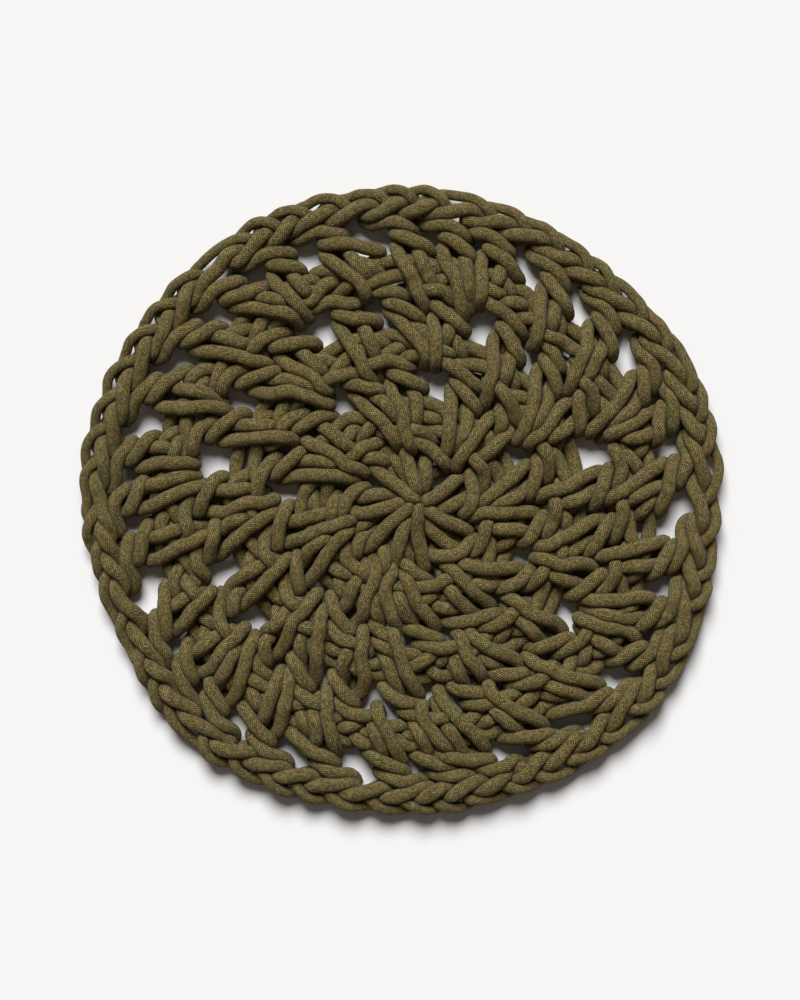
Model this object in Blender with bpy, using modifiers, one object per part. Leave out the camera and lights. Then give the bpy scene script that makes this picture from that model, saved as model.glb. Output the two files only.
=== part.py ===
"""A round trivet crocheted from one thick cotton cord, lying flat. Metres, +Z up, underside at z = 0.

Four rounds of double crochet are worked outwards and to the left around a closed middle. The cord's
route is worked out stitch by stitch, swept as a tube, and the tubes are fused into one body, with the
real gaps between the stitches left open and the underside pressed flat where it touches.
"""
import math

import bmesh
import bpy
import numpy as np
from mathutils import Matrix

OBJECT_NAME = "crochet_trivet"
NODE_NAME = "crochet_mat"

# Driving dimensions
CORD_DIAMETER = 0.0050
MAT_RADIUS = 0.1103
MIDDLE_OFFSET = (0.00345, -0.0034)      # the first round's middle, measured from the outline's middle
RING_OFFSET = (0.0017, 0.0028)          # further drift of the closed ring at the very middle
RING_REACH = 0.0157

# The outline is a circle with slow waves: count round the mat, size, angle of a crest in degrees
OUTLINE_WAVES = [
    (2, 0.00127, -12.8),
    (3, 0.00049, -22.2),
    (4, 0.00045, -39.8),
    (5, 0.00097, 24.5),
    (7, 0.00074, 20.7),
]

# Head loops
NECK_SHIFT = 0.0032         # the neck lies this far ahead of the stitch's head
BACK_HEIGHT = 0.0026        # height of the cord's middle along the back of the fabric
LEAST_TURN_RADIUS = 0.008   # nearer the middle than this, shifts round the mat stop growing
LEG_CURVE = 1.2             # 1 for straight legs, more for legs that stand up under their heads

# Fusing
ROUTE_STEP = 0.0018
CURVE_STEPS = 6             # readings of the smooth route between two points of its table
WELD_DISTANCE = 0.00001     # joins the tube's end caps to its wall
TUBE_SIDES_RESOLUTION = 2
VOXEL = 0.0017
TRIANGLE_TARGET = 8400
FLAT_PRESS = 0.0007         # how much of the lowest cords is pressed flat
CUTTER_DEPTH = 0.010
CUTTER_WIDTH = 2.6          # in mat radii

CORD_COLOUR = (0.085, 0.066, 0.028, 1.0)
CORD_ROUGHNESS = 0.92

# Rounds: radius of the feet, of the yarn-over bars and of the necks of the head loops, how far the head
# loops stand up (the next round presses them down), how much thinner their outer strand is drawn, and a
# row for each double crochet: angle of its foot, of its head and of the far end of its yarn-over bar,
# how much further out than usual its foot sits, and whether a chain stitch follows.
ROUNDS = [
    {"name": "round_1", "foot": 0.0034, "bar": 0.0244, "neck": 0.0336, "stand": 0.72, "thinning": 0,
     "stitches": [
        (20, 33, -13, 0, True), (84, 95, 41, 0, True), (122, 134, 112, 0, True),
        (176, 190, 151, 0, True), (208, 223, 200, 0, True), (240, 252, 230, 0, True),
        (270, 284, 249, 0, True), (325, 338, 288, 0, True)]},
    {"name": "round_2", "foot": 0.0237, "bar": 0.0474, "neck": 0.0564, "stand": 0.72, "thinning": 0,
     "stitches": [
        (-5, -1.5, -20, 0, False), (2, 22, 3, 0, True), (43, 48, 33, 0, False), (57, 71, 52, 0, True),
        (90, 99, 79, 0, False), (98, 118, 99, 0, True), (141, 147, 126, 0, False),
        (150, 169, 147, 0, True), (189, 198, 176, 0, False), (199, 219, 199, 0, True),
        (241, 247, 225, 0, False), (249, 267, 249, 0, True), (264, 285, 265, 0, True),
        (302, 311.5, 285.5, 0, False), (308, 335, 315, 0, True)]},
    {"name": "round_3", "foot": 0.0463, "bar": 0.0713, "neck": 0.0817, "stand": 0.72, "thinning": 0,
     "stitches": [
        (3.5, 11.3, -2.5, 0.0018, True), (28, 33.5, 21.5, 0.0042, False), (31.5, 48, 35, 0.0008, True),
        (53, 63, 49.5, 0.0010, True), (79, 82.5, 70, 0.0080, False), (81.5, 96.5, 83, 0.0074, True),
        (105, 111, 97, 0, True), (125, 131.5, 117, 0.0060, False), (127.5, 145, 132.5, 0.0016, True),
        (149.5, 162, 148, 0.0026, True), (176.5, 182, 169, 0.0034, False),
        (182, 195.5, 184, 0.0016, True), (203, 212, 204, 0.0012, True), (222.5, 229.5, 220, 0, False),
        (230, 243.5, 230.5, 0.0010, True), (249.5, 257, 244.5, 0, True), (263, 276, 260, 0, True),
        (291, 294.5, 282, 0.0048, False), (296, 307, 294.5, 0.0034, True),
        (317, 322, 308, 0.0020, True), (338, 342.5, 329, 0.0046, False),
        (343, 357.5, 343.5, 0.0036, True)]},
    {"name": "round_4", "foot": 0.0706, "bar": 0.0944, "neck": 0.1052, "stand": 1.0, "thinning": 0.28,
     "stitches": [
        (1.5, 9.3, -4, 0.0010, True), (18.5, 21, 12.5, 0.0070, False), (21.5, 30, 21.5, 0.0010, True),
        (35, 44.8, 34, 0, True), (51.5, 58.3, 47.5, 0.0044, True), (69.5, 72.5, 60.8, 0.0074, False),
        (73.5, 81.8, 73, 0, True), (84, 93, 82.5, 0, True), (100.5, 108.2, 94, 0.0068, True),
        (117.5, 120, 112.5, 0.0062, False), (119.5, 132, 121.5, 0.0056, True),
        (134.5, 145, 133.5, 0.0004, True), (152, 158.7, 146.5, 0.0022, True),
        (168.5, 172, 163, 0.0072, False), (174, 182, 173.5, 0.0016, True),
        (188, 192.8, 182.5, 0, True), (204, 209.7, 197, 0.0066, True), (217, 220.5, 210.5, 0.0034, False),
        (221.5, 229.7, 220, 0.0014, True), (235, 242, 229.5, 0.0006, True),
        (246.5, 255.7, 241, 0.0026, True), (261.8, 270.7, 259.5, 0.0044, True),
        (273.5, 281.5, 270.5, 0.0030, False), (280.3, 289.5, 275.5, -0.0010, True),
        (294, 303, 290.5, 0.0020, True), (309, 317.8, 303.5, 0, True), (327, 330, 321, 0.0028, False),
        (332, 339.8, 329.5, 0, True), (345, 352, 341.5, 0, True)]},
]

# The route of one double crochet, below its head loop. measured_from: the angle that the shift is
# measured from (head, foot, leg for the line between them, or bar, where the shift is a share of the
# bar's length). rise: 0 at the foot, 1 at the bar. shift: along the round. height: of the cord's middle.
STITCH_ROUTE = [
    # yarn over: along the back, round the post's left side, across the front, behind at the right
    ("head", 1.12, -0.0050, 0.0026), ("head", 1.05, -0.0020, 0.0036), ("head", 1.00, -0.0012, 0.0062),
    ("bar", 0.975, 0.19, 0.0088), ("bar", 0.925, 0.41, 0.0096), ("bar", 0.86, 0.65, 0.0094),
    ("bar", 0.79, 0.88, 0.0082), ("bar", 0.73, 1.0, 0.0056), ("bar", 0.66, 0.94, 0.0029),
    # down the back, and up through the gap of the round before
    ("foot", 0.30, 0.0006, 0.0023), ("foot", 0.06, 0.0003, 0.0026), ("foot", -0.10, 0.0, 0.0044),
    ("foot", -0.13, 0.0002, 0.0072), ("foot", -0.03, 0.0006, 0.0096),
    # front leg, over the head loops of the round before
    ("leg", 0.12, 0.0005, 0.0103), ("leg", 0.34, 0.0005, 0.0100), ("leg", 0.58, 0.0008, 0.0088),
    ("leg", 0.78, 0.0006, 0.0070), ("leg", 0.90, -0.0006, 0.0053), ("leg", 0.97, -0.0034, 0.0044),
    ("leg", 0.95, -0.0068, 0.0046),
    # back leg, down beside it
    ("leg", 0.84, -0.0074, 0.0058), ("leg", 0.66, -0.0062, 0.0074), ("leg", 0.45, -0.0052, 0.0080),
    ("leg", 0.27, -0.0042, 0.0074), ("leg", 0.10, -0.0030, 0.0056), ("foot", -0.03, -0.0018, 0.0034),
    # middle loop: up the back, round the right side, across the front, round the neck
    ("leg", 0.28, -0.0024, 0.0023), ("leg", 0.60, -0.0030, 0.0023), ("leg", 0.86, -0.0038, 0.0024),
    ("head", 1.00, -0.0088, 0.0044), ("head", 1.04, -0.0084, 0.0070), ("head", 1.10, -0.0058, 0.0088),
    ("head", 1.17, -0.0014, 0.0095), ("head", 1.18, 0.0028, 0.0088), ("head", 1.17, 0.0060, 0.0070),
    ("head", 1.24, 0.0082, 0.0050), ("head", 1.34, 0.0076, 0.0032), ("head", 1.38, 0.0036, 0.0023),
]

# The head loop of each double crochet and each chain. along: 0 at its neck, 1 at the next neck.
# shift: along the round. outward: from the neck's radius. height: of the cord's middle. thin: how much
# of the round's thinning the cord has here.
HEAD_ROUTE = [
    (0, -0.0034, -0.0002, 0.0028, 0), (0, -0.0022, -0.0001, 0.0042, 0), (0, -0.0004, -0.0003, 0.0062, 0),
    (0.25, 0, -0.0005, 0.0082, 0), (0.6, 0, -0.0018, 0.0094, 0), (0.9, 0, -0.0033, 0.0090, 0),
    (1, 0.0024, -0.0042, 0.0074, 0), (1, 0.0050, -0.0040, 0.0058, 0.2), (1, 0.0066, -0.0022, 0.0046, 0.5),
    (1, 0.0062, 0, 0.0040, 0.8), (1, 0.0040, 0.0018, 0.0040, 1), (0.95, 0, 0.0028, 0.0044, 1),
    (0.7, 0, 0.0037, 0.0054, 1), (0.4, 0, 0.0040, 0.0066, 1), (0.15, 0, 0.0034, 0.0074, 1),
    (0, -0.0008, 0.0018, 0.0072, 0.8), (0, -0.0026, 0.0002, 0.0056, 0.5),
    (0, -0.0034, -0.0008, 0.0042, 0.2), (0, -0.0034, -0.0008, 0.0028, 0),
]


def clear_scene():
    for item in list(bpy.data.objects):
        bpy.data.objects.remove(item, do_unlink=True)


def make_collection(name):
    collection = bpy.data.collections.new(name)
    bpy.context.scene.collection.children.link(collection)
    return collection


def cotton_material():
    material = bpy.data.materials.new("cotton_cord")
    material.use_nodes = True
    shader = material.node_tree.nodes["Principled BSDF"]
    shader.inputs["Base Color"].default_value = CORD_COLOUR
    shader.inputs["Roughness"].default_value = CORD_ROUGHNESS
    shader.inputs["Metallic"].default_value = 0.0
    return material


def degrees_along(shift, radius):
    """The angle that a shift along the round takes at this radius."""
    return math.degrees(shift / max(radius, LEAST_TURN_RADIUS))


def lay_out(rows):
    """Turns rows of angle, radius, height and thickness into points, with the mat's drift and waves."""
    angle, radius, height, thickness = np.array(rows).T
    turn = np.radians(angle)
    wave = sum(size * np.cos(count * (turn - math.radians(crest))) for count, size, crest in OUTLINE_WAVES)
    reach = radius + wave * (radius / MAT_RADIUS) ** 2
    share = 1 - radius / MAT_RADIUS
    ring = np.exp(-(radius / RING_REACH) ** 2)
    x = MIDDLE_OFFSET[0] * share + RING_OFFSET[0] * ring + reach * np.cos(turn)
    y = MIDDLE_OFFSET[1] * share + RING_OFFSET[1] * ring + reach * np.sin(turn)
    return np.stack([x, y, height, thickness], axis=1)


def loops_of(crochet_round):
    """The round's loops in working order: each stitch or chain with the angle of its neck."""
    stitches = crochet_round["stitches"]
    ahead = degrees_along(NECK_SHIFT, crochet_round["neck"])
    loops = []
    for place, (_, head, _, _, chain_follows) in enumerate(stitches):
        neck = head + ahead
        loops.append({"stitch": place, "neck": neck})
        if chain_follows:
            last = place + 1 == len(stitches)
            next_head = stitches[0][1] + 360 if last else stitches[place + 1][1]
            loops.append({"stitch": None, "neck": (neck + next_head + ahead) / 2})
    return loops


def stitch_rows(crochet_round, place):
    """One double crochet from its yarn-over to the neck of its head loop."""
    foot, head, bar_end, foot_out, _ = crochet_round["stitches"][place]
    rows = []
    for measured_from, rise, shift, height in STITCH_ROUTE:
        radius = crochet_round["foot"] + rise * (crochet_round["bar"] - crochet_round["foot"])
        if measured_from == "bar":
            bar_middle = bar_end + degrees_along(CORD_DIAMETER / 2, radius)
            rows.append((head + shift * (bar_middle - head), radius, height, 1))
            continue
        climb = min(max(rise, 0), 1)
        radius += (1 - climb) * foot_out
        lean = (1 - (1 - climb) ** LEG_CURVE) * (head - foot)
        start = {"head": head, "foot": foot, "leg": foot + lean}[measured_from]
        rows.append((start + degrees_along(shift, radius), radius, height, 1))
    return rows


def head_rows(crochet_round, neck, next_neck):
    """One head loop: out over the next neck, round behind it and back."""
    radius = crochet_round["neck"]
    rows = []
    for along, shift, outward, height, thin in HEAD_ROUTE:
        angle = neck + along * (next_neck - neck) + degrees_along(shift, radius)
        raised = BACK_HEIGHT + (height - BACK_HEIGHT) * crochet_round["stand"]
        rows.append((angle, radius + outward, raised, 1 - thin * crochet_round["thinning"]))
    return rows


def round_points(crochet_round):
    loops = loops_of(crochet_round)
    rows = []
    for place, loop in enumerate(loops):
        last = place + 1 == len(loops)
        next_neck = loops[0]["neck"] + 360 if last else loops[place + 1]["neck"]
        if loop["stitch"] is not None:
            rows += stitch_rows(crochet_round, loop["stitch"])
        rows += head_rows(crochet_round, loop["neck"], next_neck)
    return lay_out(rows)


def even_steps(points, step):
    steps = np.linalg.norm(np.diff(points[:, :3], axis=0), axis=1)
    travelled = np.concatenate([[0], np.cumsum(steps)])
    count = int(round(travelled[-1] / step)) + 1
    wanted = np.linspace(0, travelled[-1], count)
    return np.stack([np.interp(wanted, travelled, column) for column in points.T], axis=1)


def smooth_route(points, step):
    """A Catmull-Rom curve through the points, read at even steps."""
    ends = np.vstack([2 * points[0] - points[1], points, 2 * points[-1] - points[-2]])
    before, start, end, after = ends[:-3], ends[1:-2], ends[2:-1], ends[3:]
    t = np.linspace(0, 1, CURVE_STEPS, endpoint=False)[:, None, None]
    curve = 0.5 * (2 * start + (end - before) * t
                   + (2 * before - 5 * start + 4 * end - after) * t ** 2
                   + (3 * start - before - 3 * end + after) * t ** 3)
    curve = np.vstack([curve.transpose(1, 0, 2).reshape(-1, points.shape[1]), points[-1]])
    return even_steps(curve, step)


def cord_tube(crochet_round, collection):
    """The round's cord as a curve with a round bevel, made a mesh with welded caps."""
    name = crochet_round["name"]
    points = smooth_route(round_points(crochet_round), ROUTE_STEP)
    curve = bpy.data.curves.new(name + "_route", "CURVE")
    curve.dimensions = "3D"
    curve.bevel_depth = CORD_DIAMETER / 2
    curve.bevel_resolution = TUBE_SIDES_RESOLUTION
    curve.use_fill_caps = True
    spline = curve.splines.new("POLY")
    spline.points.add(len(points) - 1)
    spline.points.foreach_set("co", np.c_[points[:, :3], np.ones(len(points))].ravel())
    spline.points.foreach_set("radius", points[:, 3])
    guide = bpy.data.objects.new(name + "_guide", curve)
    collection.objects.link(guide)
    view = bpy.context.evaluated_depsgraph_get()
    mesh = bpy.data.meshes.new_from_object(guide.evaluated_get(view))
    shape = bmesh.new()
    shape.from_mesh(mesh)
    bmesh.ops.remove_doubles(shape, verts=shape.verts, dist=WELD_DISTANCE)
    shape.to_mesh(mesh)
    shape.free()
    tube = bpy.data.objects.new(name, mesh)
    tube.matrix_world = guide.matrix_world.copy()
    collection.objects.link(tube)
    bpy.data.objects.remove(guide, do_unlink=True)
    return tube


def joined(tubes, name, collection):
    """All the tubes in one mesh."""
    shape = bmesh.new()
    for tube in tubes:
        shape.from_mesh(tube.data)
        bpy.data.objects.remove(tube, do_unlink=True)
    mesh = bpy.data.meshes.new(name)
    shape.to_mesh(mesh)
    shape.free()
    item = bpy.data.objects.new(name, mesh)
    collection.objects.link(item)
    return item


def apply_modifiers(item):
    """Replaces the object's mesh by what its modifiers make of it."""
    view = bpy.context.evaluated_depsgraph_get()
    mesh = bpy.data.meshes.new_from_object(item.evaluated_get(view))
    item.modifiers.clear()
    item.data = mesh


def triangle_count(item):
    return sum(len(face.vertices) - 2 for face in item.data.polygons)


def keep_largest_shell(item):
    """Deletes the sealed pockets between strands, which are shells of their own."""
    shape = bmesh.new()
    shape.from_mesh(item.data)
    unseen = set(shape.verts)
    shells = []
    while unseen:
        front = [unseen.pop()]
        shell = list(front)
        while front:
            vert = front.pop()
            for edge in vert.link_edges:
                other = edge.other_vert(vert)
                if other in unseen:
                    unseen.remove(other)
                    front.append(other)
                    shell.append(other)
        shells.append(shell)
    shells.sort(key=len)
    for shell in shells[:-1]:
        bmesh.ops.delete(shape, geom=shell, context="VERTS")
    shape.to_mesh(item.data)
    shape.free()


def settle(item):
    """Centres the mat's box on the origin and lowers it by what is pressed flat."""
    corners = np.empty(len(item.data.vertices) * 3)
    item.data.vertices.foreach_get("co", corners)
    corners = corners.reshape(-1, 3)
    middle = (corners.min(axis=0) + corners.max(axis=0)) / 2
    drop = corners[:, 2].min() + FLAT_PRESS
    item.data.transform(Matrix.Translation((-middle[0], -middle[1], -drop)))


def floor_cutter(collection):
    """A block whose top face is the plane on which the mat lies."""
    bpy.ops.mesh.primitive_cube_add(size=1)
    cutter = bpy.context.object
    cutter.name = "floor_cutter"
    width = CUTTER_WIDTH * MAT_RADIUS
    cutter.data.transform(Matrix.Diagonal((width, width, CUTTER_DEPTH, 1)))
    cutter.location = (0, 0, -CUTTER_DEPTH / 2)
    for owner in list(cutter.users_collection):
        owner.objects.unlink(cutter)
    collection.objects.link(cutter)
    cutter.hide_render = True
    cutter.display_type = "WIRE"
    return cutter


def main():
    clear_scene()
    parts = make_collection(OBJECT_NAME)
    cutters = make_collection("cutters")
    tubes = [cord_tube(crochet_round, parts) for crochet_round in ROUNDS]
    mat = joined(tubes, NODE_NAME, parts)
    fuse = mat.modifiers.new("fuse", "REMESH")
    fuse.mode = "VOXEL"
    fuse.voxel_size = VOXEL
    apply_modifiers(mat)
    keep_largest_shell(mat)
    thin = mat.modifiers.new("thin", "DECIMATE")
    thin.ratio = TRIANGLE_TARGET / triangle_count(mat)
    thin.use_collapse_triangulate = True
    apply_modifiers(mat)
    settle(mat)
    flat = mat.modifiers.new("flat_underside", "BOOLEAN")
    flat.operation = "DIFFERENCE"
    flat.solver = "EXACT"
    flat.object = floor_cutter(cutters)
    mat.data.materials.clear()
    mat.data.materials.append(cotton_material())


main()
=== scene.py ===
import math

import bpy
import numpy as np
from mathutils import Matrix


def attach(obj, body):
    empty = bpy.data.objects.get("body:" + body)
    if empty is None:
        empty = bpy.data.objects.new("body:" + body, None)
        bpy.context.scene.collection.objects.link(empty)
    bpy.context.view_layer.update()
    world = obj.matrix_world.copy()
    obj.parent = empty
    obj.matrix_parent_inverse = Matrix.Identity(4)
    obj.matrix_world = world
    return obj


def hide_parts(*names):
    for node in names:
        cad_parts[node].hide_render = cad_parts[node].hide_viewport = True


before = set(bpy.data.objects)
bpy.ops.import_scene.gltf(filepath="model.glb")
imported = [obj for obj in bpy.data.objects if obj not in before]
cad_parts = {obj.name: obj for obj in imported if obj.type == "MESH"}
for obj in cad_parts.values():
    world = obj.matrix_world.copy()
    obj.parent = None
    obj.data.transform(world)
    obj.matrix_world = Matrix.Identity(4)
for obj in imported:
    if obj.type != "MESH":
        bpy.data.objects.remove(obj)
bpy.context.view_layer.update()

# The mat: how big it is, how its rounds drift off centre, and the slow waves of its outline
mat = {
    "node": "crochet_mat",
    "slot": "cotton_cord",
    "radius": 0.1103,
    "middleOffset": (0.00345, -0.0034),      # the first round's middle, from the outline's middle
    "ringOffset": (0.0017, 0.0028),          # further drift of the closed ring at the very middle
    "ringReach": 0.0157,
    # count of the waves round the mat, their size, and their crest in degrees
    "outlineWaves": [(2, 0.00127, -12.8), (3, 0.00049, -22.2), (4, 0.00045, -39.8),
                     (5, 0.00097, 24.5), (7, 0.00074, 20.7)],
    "neckShift": 0.0032,                     # the neck lies this far ahead of the stitch's head
    "backHeight": 0.0026,                    # the cord's middle here, behind the head loops
    "leastTurnRadius": 0.008,                # nearer the middle, shifts round the mat stop growing
    "legCurve": 1.2,                         # 1 is a straight leg
}

# Rounds: radius of the feet, of the yarn-over bars and of the necks of the head loops, how far the
# head loops stand up, how much thinner their outer arcs are drawn out, and a row for each double
# crochet: angle of its foot, of its head and of the far end of its yarn-over bar, how much further out
# than usual its foot sits, and whether a chain follows
rounds = [
    {
        "name": "cordRound1", "foot": 0.0034, "bar": 0.0244, "neck": 0.0336, "stand": 0.72, "thinning": 0,
        "stitches": [
            (20, 33, -13, 0, True), (84, 95, 41, 0, True), (122, 134, 112, 0, True),
            (176, 190, 151, 0, True), (208, 223, 200, 0, True), (240, 252, 230, 0, True),
            (270, 284, 249, 0, True), (325, 338, 288, 0, True),
        ],
    },
    {
        "name": "cordRound2", "foot": 0.0237, "bar": 0.0474, "neck": 0.0564, "stand": 0.72, "thinning": 0,
        "stitches": [
            (-5, -1.5, -20, 0, False), (2, 22, 3, 0, True), (43, 48, 33, 0, False),
            (57, 71, 52, 0, True), (90, 99, 79, 0, False), (98, 118, 99, 0, True),
            (141, 147, 126, 0, False), (150, 169, 147, 0, True), (189, 198, 176, 0, False),
            (199, 219, 199, 0, True), (241, 247, 225, 0, False), (249, 267, 249, 0, True),
            (264, 285, 265, 0, True), (302, 311.5, 285.5, 0, False), (308, 335, 315, 0, True),
        ],
    },
    {
        "name": "cordRound3", "foot": 0.0463, "bar": 0.0713, "neck": 0.0817, "stand": 0.72, "thinning": 0,
        "stitches": [
            (3.5, 11.3, -2.5, 0.0018, True), (28, 33.5, 21.5, 0.0042, False), (31.5, 48, 35, 0.0008, True),
            (53, 63, 49.5, 0.0010, True), (79, 82.5, 70, 0.0080, False), (81.5, 96.5, 83, 0.0074, True),
            (105, 111, 97, 0, True), (125, 131.5, 117, 0.0060, False), (127.5, 145, 132.5, 0.0016, True),
            (149.5, 162, 148, 0.0026, True), (176.5, 182, 169, 0.0034, False),
            (182, 195.5, 184, 0.0016, True), (203, 212, 204, 0.0012, True), (222.5, 229.5, 220, 0, False),
            (230, 243.5, 230.5, 0.0010, True), (249.5, 257, 244.5, 0, True), (263, 276, 260, 0, True),
            (291, 294.5, 282, 0.0048, False), (296, 307, 294.5, 0.0034, True),
            (317, 322, 308, 0.0020, True), (338, 342.5, 329, 0.0046, False),
            (343, 357.5, 343.5, 0.0036, True),
        ],
    },
    {
        "name": "cordRound4", "foot": 0.0706, "bar": 0.0944, "neck": 0.1052, "stand": 1.0, "thinning": 0.28,
        "stitches": [
            (1.5, 9.3, -4, 0.0010, True), (18.5, 21, 12.5, 0.0070, False), (21.5, 30, 21.5, 0.0010, True),
            (35, 44.8, 34, 0, True), (51.5, 58.3, 47.5, 0.0044, True), (69.5, 72.5, 60.8, 0.0074, False),
            (73.5, 81.8, 73, 0, True), (84, 93, 82.5, 0, True), (100.5, 108.2, 94, 0.0068, True),
            (117.5, 120, 112.5, 0.0062, False), (119.5, 132, 121.5, 0.0056, True),
            (134.5, 145, 133.5, 0.0004, True), (152, 158.7, 146.5, 0.0022, True),
            (168.5, 172, 163, 0.0072, False), (174, 182, 173.5, 0.0016, True),
            (188, 192.8, 182.5, 0, True), (204, 209.7, 197, 0.0066, True), (217, 220.5, 210.5, 0.0034, False),
            (221.5, 229.7, 220, 0.0014, True), (235, 242, 229.5, 0.0006, True),
            (246.5, 255.7, 241, 0.0026, True), (261.8, 270.7, 259.5, 0.0044, True),
            (273.5, 281.5, 270.5, 0.0030, False), (280.3, 289.5, 275.5, -0.0010, True),
            (294, 303, 290.5, 0.0020, True), (309, 317.8, 303.5, 0, True), (327, 330, 321, 0.0028, False),
            (332, 339.8, 329.5, 0, True), (345, 352, 341.5, 0, True),
        ],
    },
]

# The route of one double crochet: what the shift is measured from, rise (0 foot, 1 bar), shift along
# the round (in the bar, a share of its length), height of the cord's middle
stitchRoute = [
    # yarn over: along the back, round the post's left side, across the front, behind at the right
    ("head", 1.12, -0.0050, 0.0026), ("head", 1.05, -0.0020, 0.0036), ("head", 1.00, -0.0012, 0.0062),
    ("bar", 0.975, 0.19, 0.0088), ("bar", 0.925, 0.41, 0.0096), ("bar", 0.86, 0.65, 0.0094),
    ("bar", 0.79, 0.88, 0.0082), ("bar", 0.73, 1.0, 0.0056), ("bar", 0.66, 0.94, 0.0029),
    # down the back, and up through the gap of the round before
    ("foot", 0.30, 0.0006, 0.0023), ("foot", 0.06, 0.0003, 0.0026), ("foot", -0.10, 0.0, 0.0044),
    ("foot", -0.13, 0.0002, 0.0072), ("foot", -0.03, 0.0006, 0.0096),
    # front leg, over the head loops of the round before
    ("leg", 0.12, 0.0005, 0.0103), ("leg", 0.34, 0.0005, 0.0100), ("leg", 0.58, 0.0008, 0.0088),
    ("leg", 0.78, 0.0006, 0.0070), ("leg", 0.90, -0.0006, 0.0053), ("leg", 0.97, -0.0034, 0.0044),
    ("leg", 0.95, -0.0068, 0.0046),
    # back leg, down beside it
    ("leg", 0.84, -0.0074, 0.0058), ("leg", 0.66, -0.0062, 0.0074), ("leg", 0.45, -0.0052, 0.0080),
    ("leg", 0.27, -0.0042, 0.0074), ("leg", 0.10, -0.0030, 0.0056), ("foot", -0.03, -0.0018, 0.0034),
    # middle loop: up the back, round the right side, across the front, round the neck
    ("leg", 0.28, -0.0024, 0.0023), ("leg", 0.60, -0.0030, 0.0023), ("leg", 0.86, -0.0038, 0.0024),
    ("head", 1.00, -0.0088, 0.0044), ("head", 1.04, -0.0084, 0.0070), ("head", 1.10, -0.0058, 0.0088),
    ("head", 1.17, -0.0014, 0.0095), ("head", 1.18, 0.0028, 0.0088), ("head", 1.17, 0.0060, 0.0070),
    ("head", 1.24, 0.0082, 0.0050), ("head", 1.34, 0.0076, 0.0032), ("head", 1.38, 0.0036, 0.0023),
]

# The head loop of each double crochet and each chain: along (0 its neck, 1 the next), shift along the
# round, outward from the neck's radius, height of the cord's middle, share of the round's thinning
headRoute = [
    (0, -0.0034, -0.0002, 0.0028, 0), (0, -0.0022, -0.0001, 0.0042, 0), (0, -0.0004, -0.0003, 0.0062, 0),
    (0.25, 0, -0.0005, 0.0082, 0), (0.6, 0, -0.0018, 0.0094, 0), (0.9, 0, -0.0033, 0.0090, 0),
    (1, 0.0024, -0.0042, 0.0074, 0), (1, 0.0050, -0.0040, 0.0058, 0.2), (1, 0.0066, -0.0022, 0.0046, 0.5),
    (1, 0.0062, 0, 0.0040, 0.8), (1, 0.0040, 0.0018, 0.0040, 1), (0.95, 0, 0.0028, 0.0044, 1),
    (0.7, 0, 0.0037, 0.0054, 1), (0.4, 0, 0.0040, 0.0066, 1), (0.15, 0, 0.0034, 0.0074, 1),
    (0, -0.0008, 0.0018, 0.0072, 0.8), (0, -0.0026, 0.0002, 0.0056, 0.5), (0, -0.0034, -0.0008, 0.0042, 0.2),
    (0, -0.0034, -0.0008, 0.0028, 0),
]


def degreesAlong(shift, radius):
    # the angle that a shift round the mat takes up at a radius
    return math.degrees(shift / max(radius, mat["leastTurnRadius"]))


def layOut(rows):
    # angle, radius and height become a point: the outline's waves grow with the square of the radius,
    # and the middle drifts by an offset that fades towards the rim, plus a bump near the centre
    angle, radius, height, fullness = np.array(rows).T
    turn = np.radians(angle)
    wave = sum(size * np.cos(count * (turn - math.radians(crest)))
               for count, size, crest in mat["outlineWaves"])
    reach = radius + wave * (radius / mat["radius"]) ** 2
    share = 1 - radius / mat["radius"]
    ring = np.exp(-(radius / mat["ringReach"]) ** 2)
    x = mat["middleOffset"][0] * share + mat["ringOffset"][0] * ring + reach * np.cos(turn)
    y = mat["middleOffset"][1] * share + mat["ringOffset"][1] * ring + reach * np.sin(turn)
    return np.stack([x, y, height, fullness], axis=1)


def loopsOf(worked):
    # every double crochet and chain in working order, each with the angle of its neck
    stitches = worked["stitches"]
    ahead = degreesAlong(mat["neckShift"], worked["neck"])
    loops = []
    for place, (_, head, _, _, chainFollows) in enumerate(stitches):
        neck = head + ahead
        loops.append({"stitch": place, "neck": neck})
        if chainFollows:
            last = place + 1 == len(stitches)
            nextHead = stitches[0][1] + 360 if last else stitches[place + 1][1]
            loops.append({"stitch": None, "neck": (neck + nextHead + ahead) / 2})
    return loops


def stitchRows(worked, place):
    # one double crochet as angle, radius, height and fullness: the rise gives the radius between the
    # feet and the bars, and the angle is the head's, the foot's or the leg's, plus the shift's own
    foot, head, barEnd, footOut, _ = worked["stitches"][place]
    rows = []
    for measuredFrom, rise, shift, height in stitchRoute:
        radius = worked["foot"] + rise * (worked["bar"] - worked["foot"])
        if measuredFrom == "bar":
            barMiddle = barEnd + degreesAlong(cord["diameter"] / 2, radius)
            rows.append((head + shift * (barMiddle - head), radius, height, 1))
            continue
        climb = min(max(rise, 0), 1)
        radius += (1 - climb) * footOut
        # a leg stands straight under its head and leans more and more towards its foot
        lean = (1 - (1 - climb) ** mat["legCurve"]) * (head - foot)
        start = {"head": head, "foot": foot, "leg": foot + lean}[measuredFrom]
        rows.append((start + degreesAlong(shift, radius), radius, height, 1))
    return rows


def headRows(worked, neck, nextNeck):
    # one head loop: a share of the way to the next neck plus a shift, and heights over the back that
    # the round's stand scales
    radius = worked["neck"]
    back = mat["backHeight"]
    return [(neck + along * (nextNeck - neck) + degreesAlong(shift, radius), radius + outward,
             back + (height - back) * worked["stand"], 1 - thin * worked["thinning"])
            for along, shift, outward, height, thin in headRoute]


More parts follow.
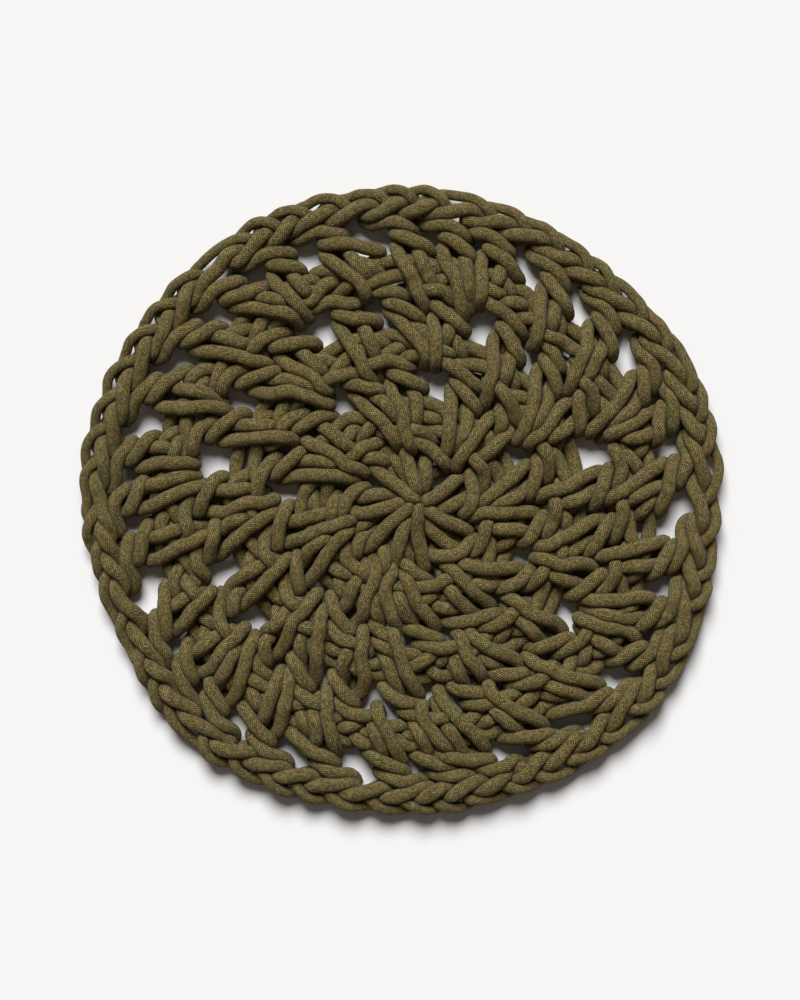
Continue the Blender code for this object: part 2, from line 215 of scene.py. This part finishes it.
def roundPoints(worked):
    # the round in working order: each double crochet and its head loop, and one head loop for a chain
    loops = loopsOf(worked)
    rows = []
    for place, loop in enumerate(loops):
        last = place + 1 == len(loops)
        nextNeck = loops[0]["neck"] + 360 if last else loops[place + 1]["neck"]
        if loop["stitch"] is not None:
            rows += stitchRows(worked, loop["stitch"])
        rows += headRows(worked, loop["neck"], nextNeck)
    return layOut(rows)


def evenSteps(points, step):
    # the same path read again at equal distances along its length
    steps = np.linalg.norm(np.diff(points[:, :3], axis=0), axis=1)
    travelled = np.concatenate([[0], np.cumsum(steps)])
    wanted = np.linspace(0, travelled[-1], int(round(travelled[-1] / step)) + 1)
    return np.stack([np.interp(wanted, travelled, column) for column in points.T], axis=1)


def smoothRoute(points, step, readings=8):
    # a Catmull-Rom curve: between two points it is the cubic whose slopes follow their neighbours
    ends = np.vstack([2 * points[0] - points[1], points, 2 * points[-1] - points[-2]])
    before, start, end, after = ends[:-3], ends[1:-2], ends[2:-1], ends[3:]
    t = np.linspace(0, 1, readings, endpoint=False)[:, None, None]
    curve = 0.5 * (2 * start + (end - before) * t
                   + (2 * before - 5 * start + 4 * end - after) * t ** 2
                   + (3 * start - before - 3 * end + after) * t ** 3)
    curve = np.vstack([curve.transpose(1, 0, 2).reshape(-1, points.shape[1]), points[-1]])
    return evenSteps(curve, step)


# The cord as the stitches press it
cord = {
    "diameter": 0.0050,
    "step": 0.00125,          # between two rings of the tube
    "sides": 14,
    "contact": 0.80,          # two strands press until their middles are this many diameters apart
    "ownGap": 5,              # rings along the same strand that don't press on each other
    "lowest": 0.0021,         # a strand's middle stays at least this high over the table
    "highest": 0.0118,        # and at most this high
    "pressedFlat": 0.0007,    # the lowest strands are pressed into the table by this much
    "passes": 90,
    "renew": 6,               # passes between two searches for strands that touch
    "slack": 0.0012,          # search this much further than they touch
    "leastGap": 1e-9,         # added to each distance, so that nothing is divided by 0
    "push": 0.38,             # share of an overlap that one pass takes away
    "stretch": 0.45,          # share of a step's change of length that one pass takes away
    "smooth": 0.10,           # share of the way to the middle between its two neighbours
    "stray": (0.00042, 0.00042, 0.00016),    # how far a hand-worked strand wanders from the chart
    "strayLength": 0.0065,    # along the strand, between one bow and the next
    "holdFlat": 0.160,        # share of the way back to the chart, along the mat
    "holdHeight": 0.020,      # and in height
    "leastFacing": 0.05,      # a direction that faces a neighbour less than this isn't cut
    "endRounding": 0.06,      # how far into its rounded end the first and the last ring lie, in radii
}


def closePairs(points, reach):
    # points are sorted into cubes of side reach, and each cube is matched with itself and with half of
    # its neighbours, so every pair nearer than reach comes up once
    cube = np.floor((points - points.min(axis=0)) / reach).astype(np.int64) + 1
    size = cube.max(axis=0) + 2
    key = (cube[:, 0] * size[1] + cube[:, 1]) * size[2] + cube[:, 2]
    order = np.argsort(key, kind="stable")
    ranked = key[order]
    firsts, seconds = [], []
    for dx in (0, 1):
        for dy in (-1, 0, 1):
            for dz in (-1, 0, 1):
                if (dx, dy, dz) < (0, 0, 0):
                    continue
                wanted = key + (dx * size[1] + dy) * size[2] + dz
                start = np.searchsorted(ranked, wanted, "left")
                count = np.searchsorted(ranked, wanted, "right") - start
                total = int(count.sum())
                ahead = np.arange(total) - np.repeat(np.cumsum(count) - count, count)
                first = np.repeat(np.arange(len(points)), count)
                second = order[np.repeat(start, count) + ahead]
                keep = first < second if (dx, dy, dz) == (0, 0, 0) else slice(None)
                firsts.append(first[keep])
                seconds.append(second[keep])
    first, second = np.concatenate(firsts), np.concatenate(seconds)
    apart = points[first] - points[second]
    near = np.einsum("ij,ij->i", apart, apart) < reach ** 2
    return first[near], second[near]


def otherStrands(first, second, strand):
    # leaves out the pairs that are close only because they follow each other on one strand
    apart = (strand[first] != strand[second]) | (np.abs(first - second) > cord["ownGap"])
    return first[apart], second[apart]


def summed(index, amounts, count):
    # the sum of the amounts that go to each point
    return np.stack([np.bincount(index, amounts[:, axis], count) for axis in range(3)], axis=1)


def pressTogether(points, strand):
    # each pass pushes touching strands apart by a share of their overlap, brings steps back to their
    # length, eases sharp bends, pulls every point a little towards the chart and keeps it off the table
    chart = points.copy()
    count = len(points)
    reach = cord["contact"] * cord["diameter"]
    joined = strand[1:] == strand[:-1]
    restLength = np.linalg.norm(np.diff(points, axis=0), axis=1)
    inner = np.zeros(count, bool)
    inner[1:-1] = joined[1:] & joined[:-1]
    hold = np.array([cord["holdFlat"], cord["holdFlat"], cord["holdHeight"]])
    for turn in range(cord["passes"]):
        if turn % cord["renew"] == 0:
            first, second = otherStrands(*closePairs(points, reach + cord["slack"]), strand)
        away = points[first] - points[second]
        gap = np.linalg.norm(away, axis=1) + cord["leastGap"]
        over = np.clip(reach - gap, 0, None)
        touching = over > 0
        pushed, pusher = first[touching], second[touching]
        shove = away[touching] * (over[touching] / gap[touching] * cord["push"] / 2)[:, None]
        move = summed(pushed, shove, count) - summed(pusher, shove, count)
        # a point that several neighbours push moves by their sum over the root of their number
        pushes = np.bincount(pushed, minlength=count) + np.bincount(pusher, minlength=count)
        points = points + move / np.sqrt(np.maximum(pushes, 1))[:, None]
        step = np.diff(points, axis=0)
        length = np.linalg.norm(step, axis=1)
        pull = step * ((length - restLength) / length * cord["stretch"] / 2 * joined)[:, None]
        points[:-1] += pull
        points[1:] -= pull
        eased = points.copy()
        eased[1:-1] += cord["smooth"] * ((points[2:] + points[:-2]) / 2 - points[1:-1])
        points = np.where(inner[:, None], eased, points)
        points += hold * (chart - points)
        points[:, 2] = np.clip(points[:, 2], cord["lowest"], cord["highest"])
    return points


def strayed(points, seed=11):
    # random offsets at each ring, averaged along the strand under a bell curve and brought back to size
    rings = cord["strayLength"] / cord["step"]
    reach = int(3 * rings)
    bell = np.exp(-0.5 * (np.arange(-reach, reach + 1) / rings * 2) ** 2)
    noise = np.random.default_rng(seed).normal(size=points.shape)
    smooth = np.stack([np.convolve(column, bell, "same") for column in noise.T], axis=1)
    return points + smooth / smooth.std(axis=0) * np.array(cord["stray"])


def steadyFrames(points):
    # a side direction that doesn't twist: a raw one is taken against the axis that the tangent is
    # furthest from, then the turn between each and the next is summed along the strand and undone
    tangent = np.gradient(points, axis=0)
    tangent /= np.linalg.norm(tangent, axis=1)[:, None]
    axis = np.eye(3)[np.argmin(np.abs(tangent), axis=1)]
    side = np.cross(tangent, axis)
    side /= np.linalg.norm(side, axis=1)[:, None]
    up = np.cross(tangent, side)
    hinge = np.cross(tangent[:-1], tangent[1:])
    bend = np.einsum("ij,ij->i", tangent[:-1], tangent[1:])[:, None]
    lean = np.einsum("ij,ij->i", hinge, side[:-1])[:, None]
    carried = side[:-1] * bend + np.cross(hinge, side[:-1]) + hinge * lean / (1 + bend)
    turn = np.arctan2(np.einsum("ij,ij->i", carried, up[1:]), np.einsum("ij,ij->i", carried, side[1:]))
    total = np.concatenate([[0], np.cumsum(turn)])[:, None]
    return side * np.cos(total) + up * np.sin(total), up * np.cos(total) - side * np.sin(total)


def pressedRadius(points, fullness, strand, side, up):
    # a tube's radius in each direction is the cord's own times its fullness, or less where the plane
    # half way to a touching strand, or the table, cuts it off; then it is eased round and along the cord
    full = cord["diameter"] / 2
    least = cord["leastFacing"]
    around = np.linspace(0, 2 * math.pi, cord["sides"], endpoint=False)
    outward = side[:, None, :] * np.cos(around)[:, None] + up[:, None, :] * np.sin(around)[:, None]
    radius = np.full((len(points), cord["sides"]), full)
    first, second = otherStrands(*closePairs(points, cord["diameter"]), strand)
    for here, there in ((first, second), (second, first)):
        away = points[there] - points[here]
        gap = np.linalg.norm(away, axis=1)
        facing = np.einsum("ijk,ik->ij", outward[here], away / gap[:, None])
        cut = np.where(facing > least, gap[:, None] / 2 / np.maximum(facing, least), full)
        np.minimum.at(radius, here, np.minimum(cut, full))
    down = -outward[:, :, 2]
    table = np.where(down > least, points[:, 2:3] / np.maximum(down, least), full)
    radius = np.minimum(radius, table)
    radius = np.minimum(radius, full * fullness[:, None])
    softened = (np.roll(radius, 1, axis=1) + 2 * radius + np.roll(radius, -1, axis=1)) / 4
    softened[1:-1] = (softened[2:] + 2 * softened[1:-1] + softened[:-2]) / 4
    return softened, outward


def tubeMesh(name, points, radius, outward):
    # rings of points + outward * radius, one after the other, with a rounded end closed by a pole
    count, sides = radius.shape
    travelled = np.arange(count) * cord["step"]
    full = cord["diameter"] / 2
    fromEnd = np.minimum(travelled, travelled[::-1])
    intoEnd = np.clip(fromEnd / full, cord["endRounding"], 1)
    rounding = np.sqrt(np.clip(1 - (1 - intoEnd) ** 2, 0, 1))
    rings = points[:, None, :] + outward * (radius * rounding[:, None])[:, :, None]
    rings[:, :, 2] = np.maximum(rings[:, :, 2], 0)
    places = np.vstack([rings.reshape(-1, 3), points[:1], points[-1:]])
    ring, place = np.meshgrid(np.arange(count - 1), np.arange(sides), indexing="ij")
    beside = (place + 1) % sides
    corners = np.stack([ring * sides + place, ring * sides + beside,
                        (ring + 1) * sides + beside, (ring + 1) * sides + place], axis=2).reshape(-1, 4)
    start = np.arange(sides)
    follow = (start + 1) % sides
    firstPole = np.stack([np.full(sides, count * sides), follow, start], axis=1)
    lastRing = (count - 1) * sides
    lastPole = np.stack([np.full(sides, count * sides + 1), lastRing + start, lastRing + follow], axis=1)
    mesh = bpy.data.meshes.new(name)
    mesh.from_pydata(places, [], corners.tolist() + firstPole.tolist() + lastPole.tolist())
    # UV: turns round the cord across, diameters along the cord upwards
    along = travelled / cord["diameter"]
    quadTurn = np.stack([place, place + 1, place + 1, place], axis=2).reshape(-1, 4) / sides
    quadAlong = np.stack([along[ring], along[ring], along[ring + 1], along[ring + 1]], axis=2).reshape(-1, 4)
    capTurn = np.stack([start + 0.5, start + 1, start], axis=1) / sides
    turns = np.concatenate([quadTurn.ravel(), capTurn.ravel(), capTurn[:, [0, 2, 1]].ravel()])
    lengths = np.concatenate([quadAlong.ravel(), np.full(3 * sides, along[0]), np.full(3 * sides, along[-1])])
    layer = mesh.uv_layers.new(name="cordUv")
    layer.data.foreach_set("uv", np.stack([turns, lengths], axis=1).ravel())
    mesh.polygons.foreach_set("use_smooth", np.ones(len(mesh.polygons), bool))
    mesh.update()
    return mesh


class Wire:
    # one node socket, so that shader maths can be written as sums and products
    def __init__(self, shop, socket):
        self.shop = shop
        self.socket = socket

    def maths(self, operation, *others):
        return self.shop.node("ShaderNodeMath", {"operation": operation}, [self, *others])

    def mathsAfter(self, operation, other):
        # the same with the other value first
        return self.shop.node("ShaderNodeMath", {"operation": operation}, [other, self])

    def __add__(self, other):
        return self.maths("ADD", other)

    def __radd__(self, other):
        return self.mathsAfter("ADD", other)

    def __sub__(self, other):
        return self.maths("SUBTRACT", other)

    def __rsub__(self, other):
        return self.mathsAfter("SUBTRACT", other)

    def __mul__(self, other):
        return self.maths("MULTIPLY", other)

    def __rmul__(self, other):
        return self.mathsAfter("MULTIPLY", other)

    def __truediv__(self, other):
        return self.maths("DIVIDE", other)

    def __rtruediv__(self, other):
        return self.mathsAfter("DIVIDE", other)

    def within(self):
        # kept between 0 and 1
        return self.maths("MINIMUM", 1.0).maths("MAXIMUM", 0.0)


class Shop:
    # makes the nodes of one material
    def __init__(self, name):
        self.material = bpy.data.materials.new(name)
        self.material.use_nodes = True
        self.tree = self.material.node_tree
        self.shader = self.tree.nodes["Principled BSDF"]

    def node(self, kind, settings, inputs, output=0):
        # settings come first, then the values or wires of the inputs, by place or by name
        made = self.tree.nodes.new(kind)
        for key, value in settings.items():
            if key == "stops":
                ramp = made.color_ramp
                firstStops = len(ramp.elements)
                for place, (position, colour) in enumerate(value):
                    stop = ramp.elements[place] if place < firstStops else ramp.elements.new(position)
                    stop.position = position
                    stop.color = (*colour, 1)
            else:
                setattr(made, key, value)
        named = inputs.items() if isinstance(inputs, dict) else enumerate(inputs)
        for key, value in named:
            self.feed(made.inputs[key], value)
        return Wire(self, made.outputs[output])

    def feed(self, socket, value):
        if isinstance(value, Wire):
            self.tree.links.new(value.socket, socket)
        else:
            socket.default_value = value


cotton = {
    "strands": 18,              # braid strands that lean each way round the cord
    "pitch": 0.18,              # length of one braid cell, in cord diameters
    "wander": 420.0,            # turns of the strand lines, per metre
    "wobble": 0.5,              # how far those lines stray, in braid cells
    "crown": 4,                 # how much a strand rounds down to its sides
    "tuck": 3,                  # how much it dips at its ends, under the next ones
    "leftCount": 31,            # each cell has a number of its own, which counts up by these
    "rightCount": 37,
    "poreShadeOut": 0.25,            # square of how far from a cell's middle the painted pore shade starts, in cells
    "poreShadeEdge": 6,
    # weights of the tone: the braid's height paints a highlight on each strand's crown and shade at its sides
    # and tucks, the pores paint shade, and flecks and specks are the yarn's own random tone
    "lightness": {"height": 0.58, "fleck": 0.34, "speck": 1.2, "paintedPoreShade": 0.60, "all": 0.185},
    # the dark, middle and light ends of the cotton's colour, and where the middle one lies; the dark end
    # carries painted shade in grooves and pores, the light end painted highlights on strand crowns, besides
    # the yarn's own flecks
    "shade": (0.028, 0.018, 0.004),
    "olive": (0.119, 0.088, 0.026),
    "brightAndPaintedHighlight": (0.405, 0.340, 0.142),
    "oliveAt": 0.45,
    "brown": (1.05, 0.98, 0.88),            # what the colour is multiplied by where it leans to brown
    "green": (0.90, 1.01, 0.92),
    "brownFrom": 0.50,          # above this the patches lean to brown, as fast as the edge says
    "brownEdge": 7,
    "greenFrom": 0.47,          # and below this to green
    "greenEdge": 6,
    "dyeFrom": 0.55,            # the dye along the cord adds green above this
    "dyeEdge": 5,
    "mostGreen": 0.9,
    "patches": 230.0,           # per metre
    "dyeLength": 0.16,          # changes of the dye along the cord, per cord diameter
    "specks": 2600.0,
    "noiseDetail": 2.0,
    "dyeDetail": 1.0,
    "roughness": 0.93,
    "sheen": 0.06,
    "sheenRoughness": 0.6,
    "specular": 0.12,
    "braidDepth": 0.00030,
    "speckDepth": 0.6,          # of the braid's own
    "bumpStrength": 0.85,
}


def cottonNoise(shop, coordinates, fineness):
    # soft noise between 0 and 1, around 0.5
    return shop.node("ShaderNodeTexNoise", {},
                     {"Vector": coordinates, "Scale": fineness, "Detail": cotton["noiseDetail"]})


def tinted(shop, share, colour, tint):
    # the colour multiplied by the tint, by as much as the share says
    sockets = {0: share, 6: colour, 7: (*tint, 1)}         # a Mix node's places for factor and colours
    return shop.node("ShaderNodeMix", {"data_type": "RGBA", "blend_type": "MULTIPLY"}, sockets, 2)


def cottonCord():
    shop = Shop("cottonCord")
    coordinates = shop.node("ShaderNodeTexCoord", {}, {}, "Object")
    uv = shop.node("ShaderNodeUVMap", {"uv_map": "cordUv"}, {})
    turn = shop.node("ShaderNodeSeparateXYZ", {}, [uv], "X")
    along = shop.node("ShaderNodeSeparateXYZ", {}, [uv], "Y")
    # two families of lines lean left and right round the cord, and wander a little, as in soft cotton
    wobble = (cottonNoise(shop, coordinates, cotton["wander"]) - 0.5) * cotton["wobble"]
    lengthwise = along / cotton["pitch"] + wobble
    sideways = turn * cotton["strands"]
    leftLean = lengthwise + sideways
    rightLean = lengthwise - sideways
    leftCell = leftLean.maths("FLOOR")
    rightCell = rightLean.maths("FLOOR")
    onTop = ((leftCell + rightCell) * 0.5).maths("FRACT") * 2     # 0 or 1, by turns: which lean shows
    # the strand that shows is highest in its middle and falls off with the square of the distance; this
    # height is the bump's relief and also paints the tone: a painted highlight on each strand's crown,
    # painted shade at its sides and tucks
    fromLeft = leftLean.maths("FRACT") - 0.5
    fromRight = rightLean.maths("FRACT") - 0.5
    leftSquare = fromLeft * fromLeft
    rightSquare = fromRight * fromRight
    leftHeight = (1 - rightSquare * cotton["crown"]) * (1 - leftSquare * cotton["tuck"])
    rightHeight = (1 - leftSquare * cotton["crown"]) * (1 - rightSquare * cotton["tuck"])
    height = leftHeight * (1 - onTop) + rightHeight * onTop
    # two tones of yarn are twisted together, so each cell has a tone of its own, drawn from its number
    leftNumber = rightCell + leftCell * cotton["leftCount"]
    rightNumber = leftCell + rightCell * cotton["rightCount"]
    cell = leftNumber * (1 - onTop) + rightNumber * onTop
    fleck = shop.node("ShaderNodeTexWhiteNoise", {"noise_dimensions": "1D"}, {"W": cell})
    speck = cottonNoise(shop, coordinates, cotton["specks"])
    patch = cottonNoise(shop, coordinates, cotton["patches"])
    dye = shop.node("ShaderNodeTexNoise", {"noise_dimensions": "1D"},
                    {"W": along, "Scale": cotton["dyeLength"], "Detail": cotton["dyeDetail"]})
    # painted shade: the pores where four braid cells meet are darkened as shade in these hollows, deeper at
    # some than at others
    paintedPoreShadeShare = ((leftSquare + rightSquare - cotton["poreShadeOut"]) * cotton["poreShadeEdge"]).within()
    paintedPoreShade = paintedPoreShadeShare * (fleck * 0.5 + 0.5)
    weight = cotton["lightness"]
    # painted light: the height term is a painted highlight on the crowns and painted shade in the grooves,
    # the pore term is painted shade
    tone = (height * weight["height"] + (fleck - 0.5) * weight["fleck"] + (speck - 0.5) * weight["speck"]
            - paintedPoreShade * weight["paintedPoreShade"] + weight["all"])
    stops = [(0, cotton["shade"]), (1, cotton["brightAndPaintedHighlight"]), (cotton["oliveAt"], cotton["olive"])]
    # the ramp turns the tone, painted shade and highlight included, into colour
    clothAndPaintedLight = shop.node("ShaderNodeValToRGB", {"stops": stops}, [tone])
    brownShare = ((patch - cotton["brownFrom"]) * cotton["brownEdge"]).within()
    greenPatch = (cotton["greenFrom"] - patch) * cotton["greenEdge"]
    greenDye = (dye - cotton["dyeFrom"]) * cotton["dyeEdge"]
    greenShare = (greenPatch + greenDye).within() * cotton["mostGreen"]
    mixed = tinted(shop, greenShare, tinted(shop, brownShare, clothAndPaintedLight, cotton["brown"]), cotton["green"])
    relief = height + (speck - 0.5) * cotton["speckDepth"]
    bump = shop.node("ShaderNodeBump", {}, {
        "Strength": cotton["bumpStrength"], "Distance": cotton["braidDepth"], "Height": relief})
    shop.feed(shop.shader.inputs["Base Color"], mixed)
    shop.feed(shop.shader.inputs["Normal"], bump)
    shop.shader.inputs["Roughness"].default_value = cotton["roughness"]
    shop.shader.inputs["Sheen Weight"].default_value = cotton["sheen"]
    shop.shader.inputs["Sheen Roughness"].default_value = cotton["sheenRoughness"]
    shop.shader.inputs["Specular IOR Level"].default_value = cotton["specular"]
    return shop.material


def makeMat():
    # four strands are laid out from the chart, pressed on each other together, and made one by one
    routes = [smoothRoute(roundPoints(worked), cord["step"]) for worked in rounds]
    points, fullness = np.split(np.vstack(routes), [3], axis=1)
    fullness = fullness.ravel()
    strand = np.repeat(np.arange(len(routes)), [len(route) for route in routes])
    # seated as the solid is: centred over the origin, its lowest cords pressed into the table
    middle = (points.min(axis=0) + points.max(axis=0)) / 2
    drop = points[:, 2].min() - cord["diameter"] / 2 + cord["pressedFlat"]
    points -= np.array([middle[0], middle[1], drop])
    print("cord", round(sum(len(route) for route in routes) * cord["step"], 2), "m,", len(points), "rings")
    points = pressTogether(strayed(points), strand)
    print("strands pressed together, height", round(points[:, 2].max() + cord["diameter"] / 2, 4))
    frames = [steadyFrames(points[strand == number]) for number in range(len(rounds))]
    side = np.vstack([sideways for sideways, _ in frames])
    up = np.vstack([upwards for _, upwards in frames])
    radius, outward = pressedRadius(points, fullness, strand, side, up)
    finish = cottonCord()
    for number, worked in enumerate(rounds):
        mine = strand == number
        mesh = tubeMesh(worked["name"], points[mine], radius[mine], outward[mine])
        mesh.materials.append(finish)
        piece = bpy.data.objects.new(worked["name"], mesh)
        bpy.context.scene.collection.objects.link(piece)
        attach(piece, "root")
        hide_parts(mat["node"])
        mesh.calc_loop_triangles()
        print(worked["name"], len(mesh.loop_triangles), "triangles")


studio = {
    "floorSize": 6.0,
    "floorDrop": 0.0002,        # just under the mat, so that the two don't flicker
    "floorColour": (0.93, 0.93, 0.93, 1),
    "floorRoughness": 0.9,
    "keyPlace": (-0.10, 0.60, 0.74),            # the light shines from here towards the mat's middle
    "keySpread": 30.0,          # degrees across, which softens its shadows
    "keyStrength": 3.70,
    "skyStrength": 0.100,
    "skyColour": (1.0, 0.88, 0.81, 1),          # warm, as light thrown back by a room
    "lens": 100.0,
    "sensor": 36.0,             # spans the picture's height, its longer side
    "frameHeight": 0.348,       # what the picture's height covers at the mat's middle height
    "middleHeight": 0.006,
    "aim": (0.00015, 0.00003),
}


def makeStudio():
    half = studio["floorSize"] / 2
    under = -studio["floorDrop"]
    corners = [(-half, -half, under), (half, -half, under), (half, half, under), (-half, half, under)]
    mesh = bpy.data.meshes.new("floor")
    mesh.from_pydata(corners, [], [(0, 1, 2, 3)])
    floor = bpy.data.objects.new("floor", mesh)
    bpy.context.scene.collection.objects.link(floor)
    shop = Shop("paleFloor")
    shop.shader.inputs["Base Color"].default_value = studio["floorColour"]
    shop.shader.inputs["Roughness"].default_value = studio["floorRoughness"]
    mesh.materials.append(shop.material)
    world = bpy.data.worlds.new("studioSky")
    world.use_nodes = True
    background = world.node_tree.nodes["Background"]
    background.inputs["Color"].default_value = studio["skyColour"]
    background.inputs["Strength"].default_value = studio["skyStrength"]
    bpy.context.scene.world = world
    light = bpy.data.lights.new("key", "SUN")
    light.angle = math.radians(studio["keySpread"])
    light.energy = studio["keyStrength"]
    key = bpy.data.objects.new("key", light)
    key.location = studio["keyPlace"]
    bpy.context.scene.collection.objects.link(key)
    key.rotation_mode = "QUATERNION"
    key.rotation_quaternion = key.location.to_track_quat("Z", "Y")
    camera = bpy.data.objects.new("camera", bpy.data.cameras.new("camera"))
    camera.data.lens = studio["lens"]
    camera.data.sensor_width = studio["sensor"]
    distance = studio["frameHeight"] * studio["lens"] / studio["sensor"]
    camera.location = (*studio["aim"], studio["middleHeight"] + distance)
    bpy.context.scene.collection.objects.link(camera)
    bpy.context.scene.camera = camera
    bpy.context.scene.view_settings.view_transform = "Standard"
    print("studio made")


makeMat()
makeStudio()
